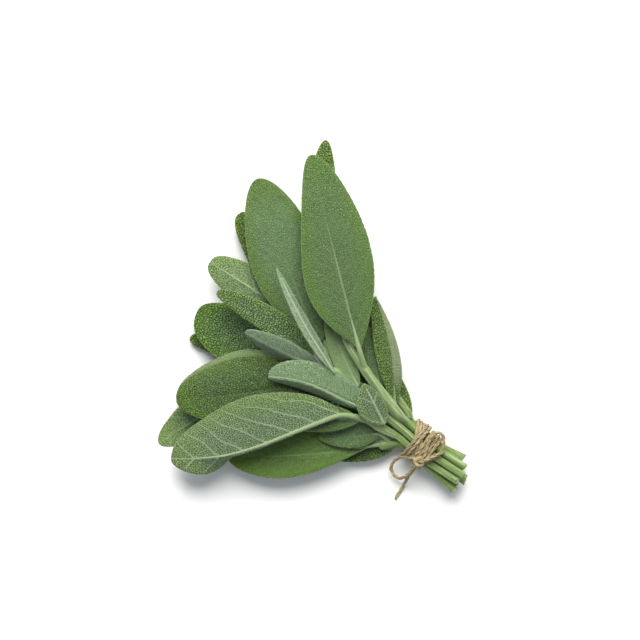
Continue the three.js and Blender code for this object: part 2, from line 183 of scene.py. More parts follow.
# Every stem: its slot in the tie, where it was cut, its way to its tip, and its leaves.
# Halves are the half widths left and right of the midrib, looking from the base to the tip.
SPRIGS = {
    "sprig_crown": dict(
        slot=90, cut=(22.8, 1.8, 4.3),
        path=[(-14, 9.6, 12.6), (-21.5, 16.6, 14.4), (-28.5, 22.5, 16.4), (-35, 28.5, 18.6)],
        leaves=[
            dict(at=0.97, base=(-35.2, 27.2, 23), tip=(-58, 68.4, 28), halves=(2.6, 2.6), arch=1.5, bow=1.2,
                 fold=((35, 35), (35, 35)), widest=0.4, blunt=0.55, tone="silver", face="under"),
            dict(at=0.98, base=(-36.8, 28, 20.5), tip=(-43.2, 34.8, 22.5), halves=(1.5, 1.5), stalk=0.6,
                 tone="woolly", face="under"),
            dict(at=0.95, base=(-40, 28.5, 20.5), tip=(-70.4, 43.4, 22), halves=(7.2, 4.8), arch=2,
                 fold=((-72, -60), (10, 10)), widest=0.5, blunt=0.5, bow=0.5, tone="grey"),
            dict(at=0.93, base=(-41, 31.5, 17.5), tip=(-81.8, 58.8, 17), halves=(3.6, 6.8), arch=3.2,
                 bow=-1.0, widest=0.46, blunt=0.4, tone="quilted"),
            # This leaf's pale midrib shows its whole length, partly the midrib's own colour and partly a
            # painted highlight along the crease of its fold
            dict(at=0.78, base=(-24.4, 13.2, 18.3), tip=(-61.2, 25.6, 21), halves=(6.6, 9), arch=2.6,
                 fold=((-64, -60), (8, 4)), bow=-2.4, late=1.36, widest=0.5, round=(0.45, 0.25),
                 blunt=0.42, tone="silver", rib=1.2),
            dict(at=0.86, base=(-25.8, 21.4, 17.8), tip=(-38.4, 49, 17.7), halves=(5.2, 3.8), arch=0.4,
                 widest=(0.36, 0.45), round=0.6, blunt=0.6, tone="young", rib=0.6),
            dict(at=0.62, base=(-15.4, 6.6, 17.4), tip=(-23.4, 22.8, 22), halves=(7.2, 4.3), arch=0.6,
                 fold=((16, 16), (0, 0)), widest=(0.5, 0.42), round=0.6, blunt=0.75, tone="pale",
                 face="under", rib=0.8),
        ],
    ),
    "sprig_tall": dict(
        slot=45, swell=2.3, cut=(21, 4.6, 2.2),
        path=[(-10, 10.8, 13.8), (-16, 18.4, 17), (-22.6, 27.6, 20.2), (-29.4, 38, 21.4), (-34, 52, 18.6)],
        leaves=[
            dict(at=0.68, base=(-25, 35.4, 25), tip=(-44.6, 113.4, 22), halves=(14.4, 14.6), arch=4,
                 bow=0.3, stalk=1.3, widest=(0.38, 0.5), round=(1.8, 0.95), blunt=(0.58, 0.53), wave=0.7,
                 tone="fresh", rib=0.5),
            dict(at=0.97, base=(-36.5, 57, 16.4), tip=(-38.4, 119.6, 11), halves=(7.4, 6.4), arch=1.5, bow=2,
                 widest=0.45, blunt=0.5, tone="bright"),
            dict(at=0.85, base=(-30, 44, 22), tip=(-35, 97, 18.4), halves=(6.5, 6.5), arch=1.4, hidden=True),
        ],
    ),
    "sprig_fan": dict(
        core=True, swell=2.2, cut=(24.6, 1.0, 0.2),
        path=[(-18, 15.2, 10), (-26, 22.4, 11.2), (-33, 29, 13), (-40, 37, 14.8)],
        leaves=[
            dict(at=0.97, base=(-42, 38.5, 15.4), tip=(-66, 104, 14), halves=(14.2, 13.8), arch=3.6,
                 widest=0.5, round=(0.95, 0.5), blunt=(0.55, 0.48), wave=0.8, tone="soft"),
            dict(at=0.93, base=(-39, 39, 13.6), tip=(-61, 84, 11.4), halves=(6, 6), arch=0.6, hidden=True),
        ],
    ),
    "sprig_left": dict(
        slot=-90, cut=(21.6, 0.6, -4.9),
        path=[(-20, 15, 4.6), (-33, 26, 7.0), (-43, 35, 8.4), (-47.5, 43.5, 10.4)],
        leaves=[
            dict(at=0.88, base=(-43.5, 32, 9), tip=(-90, 50.6, 7), halves=(14.4, 10), arch=1.4,
                 widest=(0.58, 0.54), blunt=(0.38, 0.34), wave=0.4, tone="shade"),
            dict(at=0.98, base=(-49.5, 48.6, 12), tip=(-84.6, 71, 11), halves=(7.8, 8.2), arch=1.4,
                 fold=((-16, -16), (2, 2)), widest=0.56, blunt=0.36, tone="light", face="under",
                 rib=1.2),
            dict(at=0.82, base=(-45, 30.5, 5.6), tip=(-105.2, -1.2, -0.8), halves=(9.6, 10.4), arch=1.2,
                 bow=-2, widest=0.5, blunt=0.5, tone="light", face="under", rib=1.2),
            dict(at=0.85, base=(-46, 33.5, 6), tip=(-92.8, 40.6, 2.6), halves=(5.2, 5.2), arch=0.6,
                 widest=0.6, blunt=0.45, tone="bright"),
        ],
    ),
    "sprig_dark": dict(
        slot=-135, cut=(23, -2.9, -2.6),
        path=[(-20, 9.6, 7), (-32, 18, 10), (-39.5, 23.4, 12.6)],
        leaves=[
            # This leaf's right margin rolls down and carries a painted highlight, as light on the rolled rim
            dict(at=0.98, base=(-42, 24.6, 14), tip=(-98, 16.6, 10.6), halves=(12, 18), arch=3.4, bow=1.6,
                 fold=((0, 0), (10, 6)), curl=(0, -40), widest=0.5, blunt=0.44, wave=0.5, tone="deep",
                 painted_highlight=((0, 0), (0.6, 0.8))),
            dict(at=0.8, base=(-33.5, 15.5, 8), tip=(-82, -1, 5.8), halves=(7, 10.5), arch=0.6, hidden=True),
        ],
    ),
    "sprig_front": dict(
        slot=135, cut=(22.4, -1.4, 3.6),
        path=[(-14.8, 4.2, 12.4), (-20.8, 7.6, 15.6), (-26.8, 9.8, 18.6)],
        leaves=[
            dict(at=0.95, base=(-32.4, 10.2, 20.4), tip=(-100, -7.2, 11.2), halves=(9.8, 20.4), arch=6,
                 bow=4.2, late=1.5, fold=((-84, -4), (6, 6)), turn=(0.66, 0.9), curl=(-10, -24),
                 widest=0.52, round=(0.8, 0.55), blunt=0.42, wave=0.6, tone="pale", face="under", rib=1.2,
                 stalk=1.2),
            dict(at=0.8, base=(-25, 8.2, 17.2), tip=(-66, 11, 17), halves=(6, 6), arch=0.6, hidden=True),
        ],
    ),
    "sprig_low": dict(
        slot=180, leave=4.8, cut=(23.8, -5.0, 0.6),
        path=[(-11.8, -1.2, 7.3), (-16.2, -1.8, 8.3)],
        leaves=[
            dict(at=0.97, base=(-18.4, -1.8, 8.9), tip=(-77.6, -6.4, 8), halves=(8.8, 10), arch=2.6, bow=1.6,
                 stalk=1.1, widest=(0.64, 0.59), blunt=0.5, wave=0.5, tone="grass", rib=0.6),
            dict(at=0.9, base=(-16.8, 2.6, 11.2), tip=(-41.2, 1.4, 13), halves=(5, 6.4), arch=0.8,
                 stalk=1.2, tone="soft"),
            dict(at=0.78, base=(-11.2, -3.2, 6), tip=(-38, -6.8, 4.4), halves=(3.6, 3.6), arch=0.4,
                 tone="deep"),
        ],
    ),
    "sprig_right": dict(
        slot=0, swell=1.7, butt=1.95, cut=(18.4, 6.9, -1.0),
        path=[(-5.8, 11.2, 8.2), (-11, 18.4, 9.6), (-17.4, 28, 11.2)],
        leaves=[
            # This leaf's right half is lightened by a painted highlight, as if turned towards the light
            dict(at=0.8, base=(-11, 14.6, 12.4), tip=(-18.8, 57.4, 16.6), halves=(6.2, 4), arch=2.2,
                 bow=-2, fold=((14, 14), (-30, -30)), widest=(0.5, 0.36), blunt=(0.6, 0.9), tone="bright",
                 painted_highlight=((0, 0), (0.95, 0))),
            dict(at=0.6, base=(-4.6, 8.6, 8.6), tip=(-13.4, 30.6, 8.6), halves=(4.4, 3.0), arch=0.6,
                 tone="bright"),
            dict(at=0.93, base=(-17, 20.5, 13), tip=(-21.4, 45, 14.6), halves=(4.6, 4), arch=0.6,
                 tone="soft"),
            dict(at=0.98, base=(-18.6, 30, 11.4), tip=(-25.5, 68, 8.6), halves=(4.4, 4.4), hidden=True),
            dict(at=0.55, base=(-9.4, 14.4, 7.4), tip=(-17.4, 30, 6.4), halves=(3.6, 3.6), hidden=True),
        ],
    ),
    "sprig_under": dict(
        slot=-45, swell=1.7, cut=(20.6, 4.2, -3.9),
        path=[(-14, 18, 3.4), (-25.5, 35, 3.4), (-34, 50, 3.8)],
        leaves=[
            dict(at=0.97, base=(-44, 51, 4.6), tip=(-73, 90.4, 5), halves=(9.2, 8), arch=1.6, blunt=0.4,
                 tone="bright"),
            dict(at=0.98, base=(-34.5, 57, 3.2), tip=(-31, 93, -0.8), halves=(7, 7), hidden=True),
            dict(at=0.9, base=(-38, 52, 2.6), tip=(-55, 94, -0.6), halves=(6.6, 6.6), hidden=True),
            dict(at=0.68, base=(-13, 19.5, 1.8), tip=(-18.5, 52, 0.3), halves=(6.6, 5.6), widest=0.38,
                 round=0.55, hidden=True),
            dict(at=0.8, base=(-27.5, 39.5, 2.4), tip=(-60, 62, 0), halves=(7, 7), hidden=True),
            dict(at=0.7, base=(-17.5, 21.5, 1.8), tip=(-52, 29.5, -0.4), halves=(8.5, 9.5), widest=0.36,
                 round=0.55, hidden=True),
            dict(at=0.6, base=(-15, 18, 1.8), tip=(-42, 1, 0.3), halves=(6.6, 6.6), hidden=True),
        ],
    ),
}

# Colours of each kind of leaf: the upper side, its margin and tip, the underside and the midrib,
# then how strongly the fine net shows, its cells in a millimetre, the down and the grain
TONES = {
    "deep": dict(upper=(0.087, 0.158, 0.036), margin=(0.112, 0.212, 0.012), under=(0.15, 0.22, 0.10),
                 rib=(0.12, 0.19, 0.07), net=1.1, down=0.05, grain=0.9, mesh=1.08),
    "shade": dict(upper=(0.103, 0.192, 0.052), margin=(0.118, 0.245, 0.014), under=(0.15, 0.22, 0.10),
                  rib=(0.13, 0.21, 0.08), net=1.2, down=0.05, grain=1.0, mesh=1.02),
    "fresh": dict(upper=(0.112, 0.190, 0.060), margin=(0.112, 0.215, 0.034), under=(0.15, 0.23, 0.095),
                  rib=(0.25, 0.35, 0.18), net=0.6, down=0.08, grain=0.6, mesh=1.15),
    "grass": dict(upper=(0.118, 0.205, 0.046), margin=(0.125, 0.235, 0.026), under=(0.15, 0.23, 0.095),
                  rib=(0.20, 0.30, 0.12), net=0.35, down=0.05, grain=0.45, mesh=1.15),
    "bright": dict(upper=(0.124, 0.213, 0.046), margin=(0.142, 0.250, 0.020), under=(0.16, 0.24, 0.095),
                   rib=(0.15, 0.24, 0.08), net=1.2, down=0.05, grain=0.9, mesh=1.02),
    "quilted": dict(upper=(0.132, 0.226, 0.070), margin=(0.145, 0.252, 0.036), under=(0.16, 0.24, 0.095),
                    rib=(0.17, 0.27, 0.11), net=1.25, down=0.05, grain=1.0, mesh=1.0),
    "soft": dict(upper=(0.126, 0.211, 0.081), margin=(0.108, 0.198, 0.028), under=(0.145, 0.22, 0.10),
                 rib=(0.22, 0.31, 0.16), net=0.5, down=0.1, grain=0.6, mesh=1.15),
    "pale": dict(upper=(0.150, 0.225, 0.100), margin=(0.125, 0.210, 0.046), under=(0.118, 0.186, 0.078),
                 rib=(0.33, 0.43, 0.26), net=1.0, down=0.1, grain=0.8, mesh=1.05),
    "young": dict(upper=(0.185, 0.275, 0.118), margin=(0.175, 0.27, 0.10), under=(0.2, 0.29, 0.13),
                  rib=(0.28, 0.38, 0.20), net=0.15, down=0.15, grain=0.4, mesh=1.2),
    "light": dict(upper=(0.150, 0.225, 0.100), margin=(0.165, 0.270, 0.060), under=(0.171, 0.264, 0.102),
                  rib=(0.26, 0.36, 0.18), net=0.8, down=0.1, grain=0.7, mesh=0.95),
    "silver": dict(upper=(0.216, 0.325, 0.155), margin=(0.21, 0.315, 0.155), under=(0.24, 0.32, 0.20),
                   rib=(0.37, 0.47, 0.3), net=0.42, down=0.2, grain=0.7, mesh=1.3),
    "grey": dict(upper=(0.140, 0.210, 0.116), margin=(0.155, 0.23, 0.128), under=(0.24, 0.32, 0.20),
                 rib=(0.25, 0.33, 0.20), net=0.35, down=0.2, grain=0.6, mesh=1.2),
    "woolly": dict(upper=(0.36, 0.44, 0.34), margin=(0.4, 0.48, 0.38), under=(0.4, 0.48, 0.38),
                   rib=(0.45, 0.52, 0.42), net=0.15, down=0.8, grain=0.5, mesh=1.2),
}

# Colours that all leaves share
STALK_DARK = (0.2, 0.29, 0.1)
STALK_PALE = (0.31, 0.41, 0.21)
# Painted highlight on rolled rims and turned halves, varied between these two colours by the grain
PAINTED_HIGHLIGHT_DARK = (0.2, 0.28, 0.11)
PAINTED_HIGHLIGHT_PALE = (0.34, 0.42, 0.24)
MARGIN_DOWN_AND_SHEEN = (0.3, 0.38, 0.22)
DOWN_COLOUR = (0.5, 0.58, 0.46)

# What a leaf's colour is multiplied by: lines and cells of the net, each below and above, and grain. Below,
# the pale lines are the leaf's own and the darker cells painted shade in the pits; above, the darker lines
# are painted shade in the sunken lines and the lighter cells a painted highlight on the domes, partly also
# their down
NET_LINES_PALE_AND_SHADED = ((2.7, 2.35, 2.95), (0.15, 0.2, 0.15))
NET_CELLS_SHADED_AND_LIT = ((0.52, 0.59, 0.5), (1.31, 1.26, 1.38))
GRAIN_RANGE = ((0.58, 0.64, 0.56), (1.42, 1.34, 1.5))

STEM_FRESH = (0.175, 0.258, 0.066)
STEM_DOWNY = (0.245, 0.335, 0.14)
STEM_DARK_STREAK = (0.12, 0.205, 0.045)
STEM_PALE_STREAK = (0.47, 0.57, 0.34)
STEM_PALE_SPECK = (0.62, 0.68, 0.52)
CUT_RIM = (0.33, 0.41, 0.15)
CUT_PITH = (0.56, 0.6, 0.36)

TWINE_BROWN = (0.31, 0.235, 0.115)
TWINE_STRAW = (0.42, 0.35, 0.19)
TWINE_SHADE = (0.15, 0.095, 0.04)
TWINE_FIBRE_HIGHLIGHT = (0.74, 0.63, 0.41)

# Patterns, in features for each metre
NET_WANDER = 620.0
LEAF_PATCHES = 75.0
LEAF_GRAIN = 1500.0
LEAF_HAIRS = 3200.0
STEM_SPECKS = 2600.0
TWINE_PATCHES = 260.0

# The net's cells are longer along the leaf than across it
NET_STRETCH = (0.86, 1.3)

# Depth of the relief in the finishes, in metres
NET_DEPTH = 0.00042
GRAIN_DEPTH = 0.00008
STREAK_DEPTH = 0.00035
FIBRE_DEPTH = 0.00045


def mix(a, b, share):
    return a + (b - a) * share


def smooth(low, high, value):
    share = np.clip((value - low) / (high - low), 0.0, 1.0)
    return share * share * (3.0 - 2.0 * share)


def unit(rows):
    return rows / np.linalg.norm(rows, axis=-1, keepdims=True)


def in_frame(points):
    return (points + TABLE_SHIFT) * MM


def from_tie(along, across, up):
    """A place given along the stems, across them and up, all from the centre of the tie."""
    return TIE_CENTRE + TO_LEAVES * along + ACROSS * across + UP * up


def smooth_path(points, spacing):
    """A smooth curve through points, as evenly spaced points and their directions."""
    knots = [np.asarray(p, float) for p in points]
    ends = [2 * knots[0] - knots[1]] + knots + [2 * knots[-1] - knots[-2]]
    share = np.linspace(0.0, 1.0, CURVE_STEPS, endpoint=False)[:, None]
    fine = []
    for p0, p1, p2, p3 in zip(ends, ends[1:], ends[2:], ends[3:]):
        d0, d1, d2 = (math.sqrt(np.linalg.norm(b - a)) for a, b in ((p0, p1), (p1, p2), (p2, p3)))
        leave = ((p1 - p0) / d0 - (p2 - p0) / (d0 + d1) + (p2 - p1) / d1) * d1
        arrive = ((p2 - p1) / d1 - (p3 - p1) / (d1 + d2) + (p3 - p2) / d2) * d1
        square = -3 * p1 + 3 * p2 - 2 * leave - arrive
        cube = 2 * p1 - 2 * p2 + leave + arrive
        fine.append(p1 + leave * share + square * share**2 + cube * share**3)
    fine = np.vstack(fine + [knots[-1][None, :]])
    run = np.concatenate([[0.0], np.cumsum(np.linalg.norm(np.diff(fine, axis=0), axis=1))])
    count = max(int(round(run[-1] / spacing)) + 1, 4)
    even = np.linspace(0.0, run[-1], count)
    path = np.stack([np.interp(even, run, fine[:, axis]) for axis in range(3)], axis=1)
    return path, unit(np.gradient(path, axis=0)), even


def carried_sides(directions):
    """Two directions square to a path at each of its points, carried along without a twist."""
    first = np.cross(directions[0], UP)
    if np.linalg.norm(first) < 0.1:
        first = np.cross(directions[0], [1.0, 0.0, 0.0])
    sides = [first / np.linalg.norm(first)]
    for direction in directions[1:]:
        side = sides[-1] - direction * np.dot(sides[-1], direction)
        sides.append(side / np.linalg.norm(side))
    sides = np.array(sides)
    return sides, np.cross(directions, sides)


def ripple(rng, waves, reach, *coordinates):
    """A gentle uneven swell, from -1 to 1, with no wave shorter than reach."""
    total = 0.0
    for _ in range(waves):
        push = rng.normal(size=len(coordinates))
        push *= 2 * math.pi / (reach * rng.uniform(1.0, 2.2) * np.linalg.norm(push))
        total = total + np.sin(sum(c * p for c, p in zip(coordinates, push)) + rng.uniform(0, 6.28))
    return total / waves


def choose_only(piece):
    bpy.ops.object.select_all(action="DESELECT")
    piece.select_set(True)
    bpy.context.view_layer.objects.active = piece


def shaped_grid(name, points):
    """A grid with one point for each entry of points, rows along and columns across."""
    rows, columns = points.shape[:2]
    bpy.ops.object.select_all(action="DESELECT")
    bpy.ops.mesh.primitive_grid_add(x_subdivisions=columns - 1, y_subdivisions=rows - 1, size=1.0)
    piece = bpy.context.active_object
    piece.name = piece.data.name = name
    piece.data.vertices.foreach_set("co", in_frame(points).astype(np.float32).ravel())
    piece.data.update()
    return piece


def note(piece, name, *values):
    """Keeps three numbers for each point of the piece, for its material to read."""
    rows = np.stack(np.broadcast_arrays(*values), axis=-1)
    kept = piece.data.attributes.new(name, "FLOAT_VECTOR", "POINT")
    kept.data.foreach_set("vector", rows.astype(np.float32).ravel())


def own_stretch(seed, stretch):
    step, count = stretch
    return step * (seed % count)


def close_seams(piece):
    choose_only(piece)
    bpy.ops.object.mode_set(mode="EDIT")
    bpy.ops.mesh.select_all(action="SELECT")
    bpy.ops.mesh.remove_doubles(threshold=SEAM_GAP)
    bpy.ops.object.mode_set(mode="OBJECT")


def tube(name, path, directions, section):
    """A closed tube: section gives a radius for each ring and side, rings collapse at both ends."""
    sides, ups = carried_sides(directions)
    columns = section.shape[1]
    turn = np.linspace(0.0, 2 * math.pi, columns)
    round_x = np.cos(turn)[None, :, None]
    round_y = np.sin(turn)[None, :, None]
    spokes = sides[:, None, :] * round_x + ups[:, None, :] * round_y
    return shaped_grid(name, path[:, None, :] + spokes * section[:, :, None])


# Finishes


class Finish:
    """A material and the few nodes that its pattern is drawn with."""

    def __init__(self, name, roughness, specular, sheen=0.0, sheen_tint=(1, 1, 1, 1)):
        self.material = bpy.data.materials.new(name)
        self.material.use_nodes = True
        self.tree = self.material.node_tree
        self.shader = self.tree.nodes["Principled BSDF"]
        self.shader.inputs["Roughness"].default_value = roughness
        self.shader.inputs["Specular IOR Level"].default_value = specular
        self.shader.inputs["Sheen Weight"].default_value = sheen
        self.shader.inputs["Sheen Roughness"].default_value = 0.45
        self.shader.inputs["Sheen Tint"].default_value = sheen_tint

    def put(self, socket, value):
        if isinstance(value, bpy.types.NodeSocket):
            self.tree.links.new(value, socket)
        elif isinstance(value, (tuple, list)) and len(value) == 3 and socket.type == "RGBA":
            socket.default_value = (*value, 1.0)
        else:
            socket.default_value = value

    def kept(self, name):
        """The three numbers that note kept under this name."""
        node = self.tree.nodes.new("ShaderNodeAttribute")
        node.attribute_name = name
        split = self.tree.nodes.new("ShaderNodeSeparateXYZ")
        self.put(split.inputs[0], node.outputs["Vector"])
        return split.outputs[0], split.outputs[1], split.outputs[2]

    def joined(self, x, y, z=0.0):
        node = self.tree.nodes.new("ShaderNodeCombineXYZ")
        for socket, value in zip(node.inputs, (x, y, z)):
            self.put(socket, value)
        return node.outputs[0]

    def sum(self, operation, a, b=0.0):
        node = self.tree.nodes.new("ShaderNodeMath")
        node.operation = operation
        self.put(node.inputs[0], a)
        self.put(node.inputs[1], b)
        return node.outputs[0]

    def times(self, a, b):
        return self.sum("MULTIPLY", a, b)

    def rise(self, value, low, high, bottom=0.0, top=1.0):
        """From bottom to top as value goes from low to high, smoothly and no further."""
        node = self.tree.nodes.new("ShaderNodeMapRange")
        node.interpolation_type = "SMOOTHSTEP"
        for socket, number in zip(node.inputs, (value, low, high, bottom, top)):
            self.put(socket, number)
        return node.outputs[0]

    def blend(self, share, a, b, way="MIX"):
        node = self.tree.nodes.new("ShaderNodeMix")
        node.data_type = "RGBA"
        node.blend_type = way
        self.put(node.inputs[0], share)
        self.put(node.inputs[6], a)
        self.put(node.inputs[7], b)
        return node.outputs[2]

    def noise(self, vector, scale, detail=2.0, roughness=0.5):
        node = self.tree.nodes.new("ShaderNodeTexNoise")
        self.put(node.inputs["Vector"], vector)
        node.inputs["Scale"].default_value = scale
        node.inputs["Detail"].default_value = detail
        node.inputs["Roughness"].default_value = roughness
        return node.outputs["Fac"]

    def cells(self, vector, scale):
        """How far each place is from the edge of its cell."""
        node = self.tree.nodes.new("ShaderNodeTexVoronoi")
        node.voronoi_dimensions = "2D"
        node.feature = "DISTANCE_TO_EDGE"
        self.put(node.inputs["Vector"], vector)
        node.inputs["Scale"].default_value = scale
        return node.outputs["Distance"]

    def object_place(self):
        return self.tree.nodes.new("ShaderNodeTexCoord").outputs["Object"]

    def colour(self, value):
        self.put(self.shader.inputs["Base Color"], value)

    def relief(self, height, depth):
        node = self.tree.nodes.new("ShaderNodeBump")
        node.inputs["Distance"].default_value = depth
        self.put(node.inputs["Height"], height)
        self.tree.links.new(node.outputs[0], self.shader.inputs["Normal"])


def darker(colour, share):
    return tuple(c * share for c in colour)


def leaf_finish(name, tone):
    """Downy leaf skin: small domed cells in a fine net, side veins, a midrib and greener margins, with
    painted shade and highlight in the net, painted light through the margins and a painted highlight on
    rolled rims.
    """
    skin = Finish("sage_leaf_" + name, roughness=0.74, specular=0.26,
                  sheen=0.12 + 0.22 * tone["down"], sheen_tint=(0.86, 0.94, 0.82, 1))
    along, across, over = skin.kept("blade")
    length, edge, rib = skin.kept("place")
    phase, painted_highlight, joint = skin.kept("drawn")
    place = skin.object_place()
    below = skin.sum("SUBTRACT", 1.0, over)

    # The net, its lines wandering a little and fading in patches
    wander = skin.noise(place, NET_WANDER, 1.0)
    net_along = skin.sum("ADD", along, skin.times(wander, 0.9))
    net_across = skin.sum("ADD", across, skin.times(wander, -1.0))
    shorter, wider = NET_STRETCH
    net_place = skin.joined(skin.times(net_along, shorter), skin.times(net_across, wider))
    window = skin.rise(over, 0.0, 1.0, 0.19, 0.21)
    dome = skin.rise(skin.cells(net_place, tone["mesh"]), 0.04, window)
    patches = skin.noise(place, LEAF_PATCHES, 3.0, 0.6)
    net = skin.rise(patches, 0.3, 0.7, 0.6 * tone["net"], tone["net"])
    grain = skin.noise(place, LEAF_GRAIN, 2.0, 0.75)

    # Side veins, thinner towards the margin, and the midrib
    turn = skin.sum("ABSOLUTE", skin.sum("SUBTRACT", skin.sum("FRACT", phase), 0.5))
    off_vein = skin.times(skin.sum("SUBTRACT", 0.5, turn), VEIN_SPACING * ACROSS_VEIN)
    vein_width = skin.rise(edge, 0.0, 1.0, 0.58, 0.26)
    vein = skin.rise(skin.sum("DIVIDE", off_vein, vein_width), 1.0, 0.2)
    reach = skin.sum("ABSOLUTE", across)
    middle_width = skin.rise(length, 0.0, 1.0, 0.7, 0.3)
    middle = skin.times(skin.rise(skin.sum("DIVIDE", reach, middle_width), 1.0, 0.4), rib)

    # Body colour, by side, with soft patches and greener margins and tip; that green is partly the leaf's
    # own and partly painted light shining through the thin edge
    body = skin.blend(over, tone["under"], tone["upper"])
    body = skin.blend(skin.rise(patches, 0.4, 0.75, 0.0, 0.35), body, darker(tone["upper"], 0.8))
    rim = skin.sum("MAXIMUM", skin.rise(edge, 0.4, 1.0, 0.0, 0.8), skin.rise(length, 0.7, 1.0, 0.0, 0.75))
    body = skin.blend(rim, body, tone["margin"])

    # Cells of the net: raised and lighter above, a painted highlight; sunken and darker below, painted shade
    # in the pits; the darkened lines above are painted shade too
    net_colour_and_shade = skin.blend(dome, skin.blend(over, *NET_LINES_PALE_AND_SHADED), skin.blend(over, *NET_CELLS_SHADED_AND_LIT))
    body = skin.blend(net, body, skin.blend(1.0, body, net_colour_and_shade, "MULTIPLY"))
    coarse = skin.blend(skin.rise(grain, 0.3, 0.7), *GRAIN_RANGE)
    body = skin.blend(tone["grain"], body, skin.blend(1.0, body, coarse, "MULTIPLY"))

    # Veins and midrib, then the painted highlight on rolled rims and turned halves, the pale line along the
    # margin, partly its down and partly painted sheen, and the joint with the stalk
    body = skin.blend(skin.times(vein, skin.rise(over, 0.0, 1.0, 0.8, 0.06)), body, tone["rib"])
    body = skin.blend(skin.times(middle, skin.rise(over, 0.0, 1.0, 0.9, 0.75)), body, tone["rib"])
    body = skin.blend(painted_highlight, body, skin.blend(grain, PAINTED_HIGHLIGHT_DARK, PAINTED_HIGHLIGHT_PALE))
    # A pale line along the margin, partly its down and partly painted sheen where light grazes the hairs
    to_margin = skin.sum("SUBTRACT", skin.sum("DIVIDE", reach, edge), reach)
    body = skin.blend(skin.rise(to_margin, 0.5, 0.15, 0.0, 0.4), body, MARGIN_DOWN_AND_SHEEN)
    body = skin.blend(joint, body, skin.blend(grain, STALK_DARK, STALK_PALE))

    # Short white down, thicker on young leaves
    hairs = skin.noise(place, LEAF_HAIRS, 2.0, 0.7)
    body = skin.blend(skin.rise(hairs, 0.45, 0.85, 0.0, 0.03 + 0.3 * tone["down"]), body, DOWN_COLOUR)
    skin.colour(body)

    # Above, the cells stand out; below, the lines between them do
    lines = skin.times(skin.sum("SUBTRACT", 1.0, dome), below)
    cells = skin.sum("ADD", skin.times(dome, over), lines)
    height = skin.sum("ADD", skin.sum("ADD", cells, skin.times(grain, 1.2)), skin.times(hairs, 0.3))
    skin.relief(height, NET_DEPTH * tone["net"] + GRAIN_DEPTH)
    return skin.material


def stem_finish():
    """Streaked green skin, downier towards the leaves, with pale pith in the cut end."""
    stem = Finish("sage_stem", roughness=0.6, specular=0.3, sheen=0.25, sheen_tint=(0.9, 0.96, 0.85, 1))
    along, around, cut = stem.kept("stem")
    streaks = stem.noise(stem.joined(stem.times(along, 0.1), stem.times(around, 1.5)), 1.0, 3.0, 0.6)
    body = stem.blend(stem.rise(along, 26.0, 42.0), STEM_FRESH, STEM_DOWNY)
    body = stem.blend(stem.rise(streaks, 0.45, 0.65, 0.0, 0.75), body, STEM_DARK_STREAK)
    body = stem.blend(stem.rise(streaks, 0.5, 0.3, 0.0, 0.75), body, STEM_PALE_STREAK)
    specks = stem.noise(stem.object_place(), STEM_SPECKS, 2.0, 0.7)
    body = stem.blend(stem.rise(specks, 0.55, 0.8, 0.0, 0.5), body, STEM_PALE_SPECK)
    face = stem.blend(stem.rise(cut, 1.25, 1.75), CUT_RIM, CUT_PITH)
    body = stem.blend(stem.rise(cut, 0.9, 1.05), body, face)
    stem.colour(body)
    stem.relief(stem.sum("ADD", streaks, stem.times(specks, 0.4)), STREAK_DEPTH)
    return stem.material


def twine_finish():
    """Jute: brown and straw patches, with dark fibres of painted shade and pale fibres, partly their own
    colour and partly painted highlight, wound along each ply.
    """
    twine = Finish("jute_twine", roughness=0.85, specular=0.15, sheen=0.2, sheen_tint=(1.0, 0.93, 0.78, 1))
    along, around, ply = twine.kept("ply")
    turned = twine.sum("ADD", around, twine.times(along, 0.35))
    strands = twine.joined(twine.times(along, 0.35), twine.times(turned, 2.6), ply)
    fibres = twine.noise(strands, 1.0, 4.0, 0.65)
    patches = twine.noise(twine.object_place(), TWINE_PATCHES, 2.0)
    body = twine.blend(twine.rise(patches, 0.35, 0.7), TWINE_BROWN, TWINE_STRAW)
    # Dark fibres are painted shade; pale fibres are partly their own colour and partly painted highlight
    body = twine.blend(twine.rise(fibres, 0.52, 0.32, 0.0, 0.85), body, TWINE_SHADE)
    body = twine.blend(twine.rise(fibres, 0.5, 0.68, 0.0, 0.9), body, TWINE_FIBRE_HIGHLIGHT)
    twine.colour(body)
    twine.relief(fibres, FIBRE_DEPTH)
    return twine.material


LEAF_FINISHES = {name: leaf_finish(name, tone) for name, tone in TONES.items()}
STEM_FINISH = stem_finish()
TWINE_FINISH = twine_finish()


def hand_over(piece, node, finish):
    """Gives a finished piece its material and its place in the frame."""
    choose_only(piece)
    bpy.ops.object.shade_smooth()
    piece.data.materials.clear()
    piece.data.materials.append(finish)
    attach(piece, "root")
    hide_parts(node)


# Leaves


def midrib(leaf, t):
    """The line of a leaf from base to tip, lifted by arch and bent sideways by bow."""
    start = np.asarray(leaf["base"], float)
    run = np.asarray(leaf["tip"], float) - start
    side = np.cross(UP, run)
    side /= np.linalg.norm(side)
    t = np.asarray(t, float)[:, None]
    line = start + run * t + side * leaf["bow"] * np.sin(math.pi * t ** leaf["late"])
    return line + UP * leaf["arch"] * np.sin(math.pi * t)


def of_half(value, hand):
    return value[hand] if isinstance(value, tuple) else value


def width_share(leaf, t, hand):
    """Share of the full half width at t: rounded at the base, more or less blunt at the tip."""
    power = math.log(0.5) / math.log(of_half(leaf["widest"], hand))
    bulge = np.clip(np.sin(math.pi * t**power), 0.0, 1.0)
    return bulge ** mix(of_half(leaf["round"], hand), of_half(leaf["blunt"], hand), t)


def turned_out(fold, curl, shares, full):
    """One half, from the midrib out: how far out and up each point is, and how it leans."""
    reach = shares[None, :] * full
    lean = fold * smooth(0.0, CREASE, reach) + math.radians(curl) * shares[None, :]
    step = np.diff(reach, axis=1)
    between = (lean[:, 1:] + lean[:, :-1]) / 2
    start = np.zeros((len(full), 1))
    out = np.hstack([start, np.cumsum(step * np.cos(between), axis=1)])
    rise = np.hstack([start, np.cumsum(step * np.sin(between), axis=1)])
    return out, rise, lean


